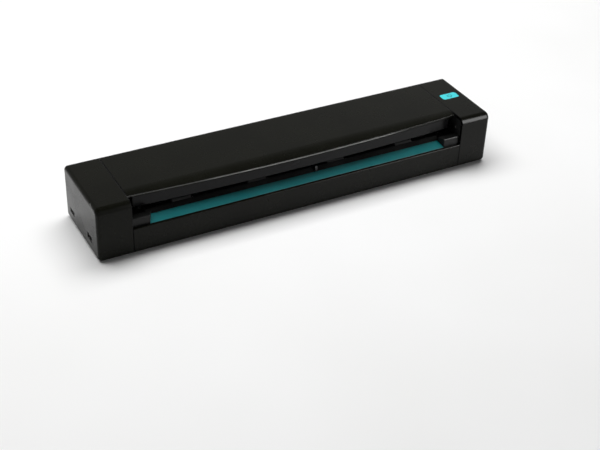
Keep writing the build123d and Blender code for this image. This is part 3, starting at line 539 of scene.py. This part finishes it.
def crossed_screw(length):
    """A pan-head screw that stands on its head, recess down, with its thread upwards."""
    bpy.ops.mesh.primitive_cylinder_add(vertices=36, radius=HEAD_RADIUS, depth=HEAD_HEIGHT,
                                        location=(0, 0, HEAD_HEIGHT / 2))
    head = bpy.context.object
    open_mesh(head)
    pick(head, "EDGE", lambda e: all(v.co.z < 0 for v in e.verts) and not e.is_wire)
    bpy.ops.mesh.bevel(offset=HEAD_HEIGHT * 0.45, segments=4, affect="EDGES")
    close_mesh()
    bars = []
    for along_x, along_y in ((RECESS_SPAN, RECESS_WIDTH), (RECESS_WIDTH, RECESS_SPAN)):
        bpy.ops.mesh.primitive_cube_add(size=1, location=(0, 0, 0),
                                        scale=(along_x, along_y, 2 * RECESS_DEPTH))
        bar = bpy.context.object
        open_mesh(bar)
        pick(bar, "FACE", lambda f: f.normal.z > 0.9)
        bpy.ops.transform.resize(value=(RECESS_TAPER, RECESS_TAPER, 1),
                                 center_override=(0, 0, RECESS_DEPTH))
        close_mesh()
        bars.append(bar)
    for bar in bars:
        cut_away(head, bar)
    run = length - HEAD_HEIGHT
    bpy.ops.mesh.primitive_cylinder_add(vertices=20, radius=SHANK_RADIUS, depth=run,
                                        location=(0, 0, HEAD_HEIGHT + run / 2 - SHANK_SUNK))
    shank = bpy.context.object
    open_mesh(shank)
    pick(shank, "EDGE", lambda e: abs(e.verts[0].co.z - e.verts[1].co.z) > run / 2)
    rings = max(6, int(run / THREAD_PITCH) * 2)
    bpy.ops.mesh.subdivide(number_cuts=rings)
    step = run / (rings + 1)
    pick(shank, "EDGE", lambda e: abs(e.verts[0].co.z - e.verts[1].co.z) < step / 4
         and round((middle(e).z + run / 2) / step) % 2 == 1)
    bpy.ops.transform.resize(value=(THREAD_CORE, THREAD_CORE, 1),
                             center_override=(0, 0, HEAD_HEIGHT + run / 2))
    close_mesh(60)
    return joined("screw", [head, shank])


def drive_screws(name, node, body, finish):
    """Replaces a CAD group of screws; each stands along its longest side, head at its wide end."""
    made = {}
    screws = []
    for low, high in solids_in(node):
        size = high - low
        axis = 0 if size.x > size.z else 2
        length = size[axis]
        key = round(length * 10000)
        if key not in made:
            made[key] = crossed_screw(length)
        centre = (low + high) / 2
        heads_up = HEADS[node](centre)
        spot = centre.copy()
        spot[axis] = high[axis] if heads_up else low[axis]
        turned = Matrix.Identity(4)
        if axis == 0:
            turned = Matrix.Rotation(math.radians(-90 if heads_up else 90), 4, "Y")
        elif heads_up:
            turned = Matrix.Rotation(math.radians(180), 4, "X")
        screws.append(copied(made[key], Matrix.Translation(spot) @ turned))
    for pattern in made.values():
        bpy.data.objects.remove(pattern)
    piece = joined(name, screws)
    piece.data.materials.append(finish)
    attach(piece, body)
    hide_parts(node)


# Whether a screw's head is at its upper or right end, by its CAD group and its place.
HEADS = {"base_screws": lambda spot: False,
         "frame_screws": lambda spot: spot.x > 0,
         "bracket_screws": lambda spot: True,
         "board_screws": lambda spot: spot.z < 0.02,
         "lid_screws": lambda spot: False}
screw_zinc = steel("screw_zinc", (0.42, 0.43, 0.45), (0.66, 0.66, 0.62), 0.30)
for node, body in (("base_screws", "base"), ("frame_screws", "base"), ("bracket_screws", "base"),
                   ("board_screws", "base"), ("lid_screws", "cover")):
    drive_screws("crossed_" + node, node, body, screw_zinc)


# The side frames: two glass-filled nylon plates that close the caps towards the middle and carry
# the shafts. The white acetal bushes and the ground steel hinge pins are pressed into them.
frame_finish = moulded("frame_grey", (0.0075, 0.0078, 0.0078), (0.0125, 0.0128, 0.0128),
                       (0.030, 0.030, 0.030), 0.50, grain=700, depth=0.00004, gloss=0.20)
dress(frame_finish, "left_side_frame", "right_side_frame")
acetal = moulded("gear_white", (0.70, 0.69, 0.64), (0.78, 0.77, 0.72), (0.84, 0.83, 0.79), 0.34,
                 grain=500, depth=0.000006, gloss=0.5)
acetal.node_tree.nodes["Principled BSDF"].inputs["Subsurface Weight"].default_value = 0.12
acetal.node_tree.nodes["Principled BSDF"].inputs["Subsurface Scale"].default_value = 0.002
dress(acetal, "shaft_bushes")
TURNED = (1, 0.02, 0.02)
ground_steel = steel("steel", (0.40, 0.40, 0.40), (0.62, 0.61, 0.60), 0.24, TURNED, 3500)
dress(ground_steel, "hinge_pins")


# The boards: green lacquered glass-epoxy with copper tracks under the lacquer and tinned pads. The
# main one is screwed to four posts of the tray, under the left half of the guide plate, and the
# button's small one to posts inside the right cap.
PAD_TIN = (0.62, 0.60, 0.54)
TRACK_HEIGHT = 0.00004


def circuit_board(name):
    """Green lacquer over tracks that run in bands, with round tinned pads in patches."""
    finish, tree, shader, place = new_finish(name)
    wave = tree.nodes.new("ShaderNodeTexWave")
    wave.bands_direction = "Y"
    wave.inputs["Scale"].default_value = 260
    wave.inputs["Distortion"].default_value = 2.2
    wave.inputs["Detail"].default_value = 0
    wave.inputs["Detail Scale"].default_value = 0.2
    tree.links.new(place, wave.inputs["Vector"])
    track = spread(tree, wave.outputs["Fac"], 0, 1, 0.62, 0.70)
    areas = spread(tree, cloud(tree, place, 75, 0), 0, 1, 0.48, 0.50)
    tracks = reckon(tree, "MULTIPLY", track, areas)
    green = tones(tree, tracks, (0.0, (0.004, 0.070, 0.026)), (1.0, (0.014, 0.130, 0.050)))
    cells = tree.nodes.new("ShaderNodeTexVoronoi")
    cells.inputs["Scale"].default_value = 330
    cells.inputs["Randomness"].default_value = 0.35
    tree.links.new(place, cells.inputs["Vector"])
    pad = spread(tree, cells.outputs["Distance"], 1, 0, 0.20, 0.24)
    pads = reckon(tree, "MULTIPLY", pad, spread(tree, cloud(tree, place, 40, 0), 0, 1, 0.55, 0.57))
    tree.links.new(laid_over(tree, green, PAD_TIN, pads), shader.inputs["Base Color"])
    tree.links.new(spread(tree, pads, 0.30, 0.42, 0, 1), shader.inputs["Roughness"])
    tree.links.new(pads, shader.inputs["Metallic"])
    relief(tree, shader, tracks, TRACK_HEIGHT, 0.8)
    return finish


dress(circuit_board("board_green"), "main_board", "button_board")
epoxy = moulded("chip_black", (0.016, 0.016, 0.017), (0.024, 0.024, 0.025), (0.05, 0.05, 0.05), 0.52,
                grain=3000, depth=0.00001, gloss=0.35)
dress(epoxy, "main_chip")
nylon = moulded("connector_white", (0.68, 0.66, 0.58), (0.76, 0.74, 0.66), (0.82, 0.81, 0.74), 0.42,
                grain=900, depth=0.000008, gloss=0.4)
dress(nylon, "ribbon_connectors")


# The chip's legs: tinned gull-wing leads round its four sides, soldered flat to the board. One
# lead is bent here and set out along each side.
tin = steel("tinned_lead", (0.52, 0.52, 0.52), (0.74, 0.73, 0.71), 0.28)
chip_low, chip_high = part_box("main_chip")
LEAD_WIDTH = 0.00028
LEAD_THICKNESS = 0.00012
LEAD_HEIGHT = 0.00062
LEAD_OUT = 0.0003
LEAD_DROP = (0.00022, 0, -0.00050)
LEAD_FOOT = (0.00045, 0, -0.00004)
LEAD_PITCH = 0.00080
LEADS_A_SIDE = 15


def gull_lead():
    """A lead that leaves the body at mid height, drops and ends in a flat foot, towards +X."""
    bpy.ops.mesh.primitive_cube_add(size=1, location=(LEAD_OUT / 2, 0, LEAD_HEIGHT),
                                    scale=(LEAD_OUT, LEAD_WIDTH, LEAD_THICKNESS))
    lead = bpy.context.object
    bpy.ops.object.transform_apply(location=True, rotation=True, scale=True)
    for step in (LEAD_DROP, LEAD_FOOT):
        open_mesh(lead)
        reach = max(v.co.x for v in lead.data.vertices) - 0.00001
        pick(lead, "FACE", lambda f: middle(f).x > reach)
        bpy.ops.mesh.extrude_region_move(TRANSFORM_OT_translate={"value": step})
        bpy.ops.object.mode_set(mode="OBJECT")
    open_mesh(lead)
    close_mesh(20)
    return lead


lead = gull_lead()
leads = []
chip_middle = (Vector(chip_low) + Vector(chip_high)) / 2
chip_half = (chip_high[0] - chip_low[0]) / 2
for side in range(4):
    for k in range(LEADS_A_SIDE):
        along = (k - (LEADS_A_SIDE - 1) / 2) * LEAD_PITCH
        spot = Matrix.Translation((chip_middle.x, chip_middle.y, chip_low[2]))
        leads.append(copied(lead, spot @ Matrix.Rotation(side * math.pi / 2, 4, "Z")
                            @ Matrix.Translation((chip_half, along, 0))))
bpy.data.objects.remove(lead)
chip_leads = joined("chip_leads", leads)
chip_leads.data.materials.append(tin)
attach(chip_leads, "base")


# Small parts on the main board: two aluminium can capacitors beside the chip, and a double row of
# black chip resistors. They are soldered to the board.
BOARD_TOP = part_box("main_board")[1][2]
CAN_RADIUS = 0.0025
CAN_HEIGHT = 0.0050
CAN_STEPS = 10
GROOVE_UP = 0.0010
GROOVE_SHARE = 0.90
CAN_ROUNDING = 0.00035
CAN_RIM = 0.0006
CAN_DISH = 0.00012
CANS_AT_X = -0.0085, -0.0150
CANS_AT_Y = 0.001
DRAWN_UP = (1, 1, 0.05)


def can_capacitor():
    """An aluminium can with a rolled groove near its foot and a sunk top."""
    bpy.ops.mesh.primitive_cylinder_add(vertices=40, radius=CAN_RADIUS, depth=CAN_HEIGHT,
                                        location=(0, 0, CAN_HEIGHT / 2))
    can = bpy.context.object
    near_top = CAN_HEIGHT / 2 - 0.0001
    open_mesh(can)
    pick(can, "EDGE", lambda e: abs(e.verts[0].co.z - e.verts[1].co.z) > 0.8 * CAN_HEIGHT)
    bpy.ops.mesh.subdivide(number_cuts=CAN_STEPS - 1)
    pick(can, "EDGE", lambda e: all(abs(v.co.z + CAN_HEIGHT / 2 - GROOVE_UP) < 0.0001 for v in e.verts))
    bpy.ops.transform.resize(value=(GROOVE_SHARE, GROOVE_SHARE, 1), center_override=(0, 0, GROOVE_UP))
    pick(can, "EDGE", lambda e: all(v.co.z > near_top for v in e.verts))
    bpy.ops.mesh.bevel(offset=CAN_ROUNDING, segments=3, affect="EDGES")
    pick(can, "FACE", lambda f: f.normal.z > 0.95 and middle(f).z > near_top)
    bpy.ops.mesh.inset(thickness=CAN_RIM, depth=-CAN_DISH)
    close_mesh()
    return can


can = can_capacitor()
cans = []
for from_chip in CANS_AT_X:
    spot = (chip_low[0] + from_chip, chip_high[1] + CANS_AT_Y, BOARD_TOP)
    cans.append(copied(can, Matrix.Translation(spot)))
bpy.data.objects.remove(can)
board_cans = joined("board_capacitors", cans)
board_cans.data.materials.append(steel("can_aluminium", (0.60, 0.60, 0.61), (0.78, 0.78, 0.78), 0.30,
                                       DRAWN_UP, 1500))
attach(board_cans, "base")

RESISTOR = (0.0016, 0.0008, 0.0005)
RESISTOR_ROUNDING = 0.00006
RESISTOR_PITCH = 0.0026
RESISTOR_ROWS_APART = 0.0021
RESISTORS_IN_ROW = 11

bpy.ops.mesh.primitive_cube_add(size=1, location=(0, 0, RESISTOR[2] / 2), scale=RESISTOR)
block = bpy.context.object
open_mesh(block)
pick(block, "EDGE", lambda e: True)
bpy.ops.mesh.bevel(offset=RESISTOR_ROUNDING, segments=2, affect="EDGES")
close_mesh()
resistors = []
for row in range(2):
    for k in range(RESISTORS_IN_ROW):
        x = chip_low[0] - 0.004 - RESISTOR_PITCH * k
        y = chip_low[1] + 0.0016 + RESISTOR_ROWS_APART * row
        resistors.append(copied(block, Matrix.Translation((x, y, BOARD_TOP))))
bpy.data.objects.remove(block)
board_resistors = joined("board_resistors", resistors)
board_resistors.data.materials.append(epoxy)
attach(board_resistors, "base")


# The flat ribbons: white polyester with tinned conductors side by side under it. The long one
# runs along the floor to the button's board, the short one drops from the lower image sensor.
def flat_ribbon(name, across):
    """White film with fine conductor stripes that follow each other along one axis."""
    finish, tree, shader, place = new_finish(name)
    stripes = tree.nodes.new("ShaderNodeTexWave")
    stripes.bands_direction = across
    stripes.inputs["Scale"].default_value = 300
    tree.links.new(place, stripes.inputs["Vector"])
    tree.links.new(tones(tree, stripes.outputs["Fac"], (0.35, (0.72, 0.72, 0.70)),
                         (0.60, (0.50, 0.50, 0.49))), shader.inputs["Base Color"])
    tree.links.new(spread(tree, cloud(tree, place, 300, 3), 0.32, 0.44), shader.inputs["Roughness"])
    relief(tree, shader, stripes.outputs["Fac"], 0.00004, 0.7)
    return finish


dress(flat_ribbon("ribbon_white", "Y"), "long_ribbon")
dress(flat_ribbon("ribbon_white_short", "X"), "lower_sensor_ribbon")


# The two ports: steel shells soldered to the board, behind holes in the left cap's side, coloured
# dark as painted shade for the hollows behind the holes. Each has a tongue with five gilt contact
# fingers.
# Painted shade: the shells are coloured dark for the shade inside the port holes.
port_metal = steel("port_metal", (0.060, 0.058, 0.054), (0.110, 0.107, 0.100), 0.38)
dress(port_metal, "mini_port", "micro_port")
gilt = steel("gilt_contact", (0.72, 0.50, 0.20), (0.86, 0.64, 0.30), 0.22)
FINGER = (0.0046, 0.00036, 0.00008)
FINGER_IN = 0.0031
FINGER_UP = 0.00031
FINGER_ROUNDING = 0.00003


def contact_fingers(name, port, pitch):
    """Five thin fingers laid on the port's tongue, their upper edges eased."""
    low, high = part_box(port)
    centre = (Vector(low) + Vector(high)) / 2
    bpy.ops.mesh.primitive_cube_add(size=1, scale=FINGER,
                                    location=(low[0] + FINGER_IN, centre.y, centre.z + FINGER_UP))
    finger = bpy.context.object
    open_mesh(finger)
    pick(finger, "EDGE", lambda e: all(v.co.z > 0 for v in e.verts))
    bpy.ops.mesh.bevel(offset=FINGER_ROUNDING, segments=2, affect="EDGES")
    close_mesh()
    fingers = [copied(finger, Matrix.Translation((0, k * pitch, 0))) for k in (-2, -1, 0, 1, 2)]
    bpy.data.objects.remove(finger)
    piece = joined(name, fingers)
    piece.data.materials.append(gilt)
    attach(piece, "base")


contact_fingers("mini_port_fingers", "mini_port", 0.00080)
contact_fingers("micro_port_fingers", "micro_port", 0.00065)


# The drive: a flat stepper motor on a folded, zinc-plated bracket, a brass pinion on its shaft, a
# double acetal gear on a steel stud and one acetal gear on each feed shaft.
DRAWN_SIDEWAYS = (0.05, 1, 1)
ROLLED_SHEET = (0.3, 1, 0.1)
dress(steel("motor_metal", (0.40, 0.40, 0.39), (0.58, 0.57, 0.54), 0.34, DRAWN_SIDEWAYS, 1200), "motor")
dress(steel("bracket_zinc", (0.44, 0.45, 0.47), (0.64, 0.64, 0.62), 0.38, ROLLED_SHEET, 600),
      "motor_bracket")
dress(ground_steel, "motor_shaft", "drive_gear_stud", "front_feed_shaft", "rear_feed_shaft")
dress(steel("brass", (0.60, 0.42, 0.15), (0.80, 0.60, 0.26), 0.26, TURNED, 3000), "motor_pinion")
dress(acetal, "drive_gear", "front_shaft_gear", "rear_shaft_gear")


# The feed rollers: black rubber tyres bonded to the two steel shafts, ground across their width,
# so that fine rings show. Paper has left them slightly dusty.
feed_rubber = rubber("roller_rubber", (0.014, 0.014, 0.014), (0.045, 0.045, 0.044), 0.68, TURNED, 4000)
dress(feed_rubber, "front_feed_rollers", "rear_feed_rollers")


# The image sensors: two long black housings that look at each other's white calibration strip
# through a clear glass, one under the sheet and one over it.
bar_finish = moulded("sensor_black", (0.010, 0.010, 0.011), (0.017, 0.017, 0.018), (0.04, 0.04, 0.04),
                     0.55, grain=800, depth=0.00003, gloss=0.3)
dress(bar_finish, "lower_sensor_bar", "upper_sensor_bar")


def clear_glass(name):
    """Clear sheet glass with a trace of dust in its gloss."""
    finish, tree, shader, place = new_finish(name)
    shader.inputs["Transmission Weight"].default_value = 1.0
    shader.inputs["IOR"].default_value = 1.5
    dust = cloud(tree, place, 400, 5)
    tree.links.new(tones(tree, dust, (0.3, (0.90, 0.95, 0.93)), (0.7, (0.94, 0.97, 0.96))),
                   shader.inputs["Base Color"])
    tree.links.new(spread(tree, dust, 0.02, 0.09, 0.4, 0.8), shader.inputs["Roughness"])
    return finish


dress(clear_glass("window_glass"), "lower_sensor_glass", "upper_sensor_glass")
chalk = moulded("strip_white", (0.74, 0.74, 0.72), (0.80, 0.80, 0.78), (0.82, 0.82, 0.80), 0.58,
                grain=1500, depth=0.000008, gloss=0.25)
dress(chalk, "lower_calibration_strip", "upper_calibration_strip")


# The paper path: a black guide plate that the sheet slides over, with fine ribs that keep it off
# the surface, the teal entry strip in front, and a guide block at each end with a slanted cheek.
guide_finish = moulded("guide_black", (0.0050, 0.0052, 0.0050), (0.0075, 0.0077, 0.0074),
                       (0.030, 0.030, 0.030), 0.32, gloss=0.16)
dress(guide_finish, "lower_guide_plate", "left_guide_block", "right_guide_block")
strip_teal = moulded("strip_teal", (0.003, 0.185, 0.200), (0.005, 0.225, 0.240), (0.04, 0.40, 0.41),
                     0.36, gloss=0.18)
dress(strip_teal, "entry_strip")
RIB_WIDTH = 0.0009
RIB_HEIGHT = 0.00030
RIB_SUNK = 0.00004
RIB_TOP_SHARE = (0.45, 0.86, 1)
RIB_ROUNDING_SHARE = 0.3
RIB_PLACES = (-0.1035, -0.0695, -0.0445, -0.0145, 0.0145, 0.0445, 0.0695, 0.1035)
PLATE_RIB_ROWS = ((-0.0180, -0.0078), (0.0125, 0.0215))


def guide_ribs(name, body, base_z, rise, rows, finish):
    """Slender ribs along the sheet's way, with sloping ends; a negative rise points them down."""
    ribs = []
    for y0, y1 in rows:
        bpy.ops.mesh.primitive_cube_add(size=1, location=(0, (y0 + y1) / 2, base_z + rise / 2),
                                        scale=(RIB_WIDTH, y1 - y0, abs(rise)))
        rib = bpy.context.object
        open_mesh(rib)
        out = 1 if rise > 0 else -1
        pick(rib, "FACE", lambda f: f.normal.z * out > 0.9)
        bpy.ops.transform.resize(value=RIB_TOP_SHARE,
                                 center_override=(0, (y0 + y1) / 2, base_z + rise))
        pick(rib, "EDGE", lambda e: all(v.co.z * out > 0 for v in e.verts))
        bpy.ops.mesh.bevel(offset=abs(rise) * RIB_ROUNDING_SHARE, segments=2, affect="EDGES")
        close_mesh()
        ribs.extend(copied(rib, Matrix.Translation((x, 0, 0))) for x in RIB_PLACES)
        bpy.data.objects.remove(rib)
    piece = joined(name, ribs)
    piece.data.materials.append(finish)
    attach(piece, body)


plate_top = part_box("lower_guide_plate")[1][2]
guide_ribs("guide_plate_ribs", "base", plate_top - RIB_SUNK, RIB_HEIGHT, PLATE_RIB_ROWS, guide_finish)


# The paper sensor: an opto fork on the tray and a black lever that the sheet pushes back. The
# lever's flag leaves the fork's gap when it swings.
dress(epoxy, "paper_sensor", "sensor_lever")


# The hinged cover: the top moulding is dressed with the casing. Its inner frame is the glossy
# band under the lip, and it carries the pinch rollers, which turn in white sliding bearings.
band_finish = moulded("band_black", (0.0068, 0.0068, 0.0072), (0.0095, 0.0095, 0.0100),
                      (0.030, 0.030, 0.032), 0.22, grain=500, depth=0.000006, gloss=0.11)
dress(band_finish, "lid_inner_frame")
dress(ground_steel, "front_pinch_axle", "rear_pinch_axle")
dress(acetal, "front_pinch_bearings", "rear_pinch_bearings")
dress(rubber("pinch_rubber", (0.075, 0.075, 0.078), (0.120, 0.120, 0.118), 0.60, TURNED, 4000),
      "front_pinch_rollers", "rear_pinch_rollers")
LID_RIB_ROWS = ((-0.0160, -0.0095), (0.0125, 0.0205))
lid_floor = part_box("lid_inner_frame")[0][2]
guide_ribs("lid_ribs", "cover", lid_floor + RIB_SUNK, -RIB_HEIGHT, LID_RIB_ROWS, band_finish)


# The springs over the pinch rollers' bearings: cold-wound steel wire. Their upper ends are held in
# the cover's pockets.
spring_steel = steel("spring_steel", (0.30, 0.30, 0.31), (0.50, 0.49, 0.47), 0.26, line_scale=2500)


def wound_springs(name, node):
    """The CAD model's coils, merged into a mesh of their own, carried by the cover."""
    coils = bpy.data.objects.new(name, nodes[node].data.copy())
    bpy.context.collection.objects.link(coils)
    open_mesh(coils)
    bpy.ops.mesh.select_all(action="SELECT")
    bpy.ops.mesh.remove_doubles(threshold=0.000002)
    close_mesh(60)
    coils.data.materials.clear()
    coils.data.materials.append(spring_steel)
    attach(coils, "cover")
    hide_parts(node)
    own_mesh(coils)


wound_springs("wound_front_springs", "front_pinch_springs")
wound_springs("wound_rear_springs", "rear_pinch_springs")


# The power button: a bright cyan moulding that slides in the right cap, with a printed on and
# off sign, a white plunger under it, and a tact switch on its own small board.
cyan = moulded("button_cyan", (0.050, 0.600, 0.650), (0.062, 0.660, 0.710), (0.22, 0.80, 0.84), 0.36,
               gloss=0.25)
dress(cyan, "power_button")
dress(nylon, "switch_plunger")
dress(epoxy, "button_switch")
button_low, button_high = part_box("power_button")
sign_x = (button_low[0] + button_high[0]) / 2
sign_y = (button_low[1] + button_high[1]) / 2
sign_z = button_high[2]
SIGN_RADIUS = 0.00185
SIGN_LINE = 0.00046
SIGN_INK = 0.00002
SIGN_GAP = math.radians(32)
STROKE_UP = 0.00120
STROKE_LENGTH = 0.0019

bpy.ops.mesh.primitive_circle_add(vertices=64, radius=SIGN_RADIUS, fill_type="NOTHING",
                                  location=(sign_x, sign_y, sign_z - SIGN_INK))
ring = bpy.context.object
open_mesh(ring)
bpy.ops.mesh.select_all(action="SELECT")
bpy.ops.mesh.extrude_region_move()
share = (SIGN_RADIUS - SIGN_LINE) / SIGN_RADIUS
bpy.ops.transform.resize(value=(share, share, 1), center_override=(sign_x, sign_y, sign_z))
pick(ring, "FACE", lambda f: abs(math.atan2(middle(f).x, middle(f).y)) < SIGN_GAP)
bpy.ops.mesh.delete(type="FACE")
bpy.ops.mesh.select_all(action="SELECT")
bpy.ops.mesh.extrude_region_move(TRANSFORM_OT_translate={"value": (0, 0, 2 * SIGN_INK)})
close_mesh(30)
bpy.ops.mesh.primitive_cube_add(size=1, location=(sign_x, sign_y + STROKE_UP, sign_z),
                                scale=(SIGN_LINE, STROKE_LENGTH, 2 * SIGN_INK))
stroke = bpy.context.object
open_mesh(stroke)
pick(stroke, "EDGE", lambda e: abs(e.verts[0].co.z - e.verts[1].co.z) > 0.5 * SIGN_INK)
bpy.ops.mesh.bevel(offset=SIGN_LINE * 0.4, segments=4, affect="EDGES")
close_mesh(30)
power_sign = joined("power_sign", [ring, stroke])
power_sign.data.materials.append(moulded("sign_ink", (0.003, 0.045, 0.052), (0.004, 0.058, 0.066),
                                         (0.02, 0.15, 0.16), 0.50, gloss=0.2))
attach(power_sign, "button")
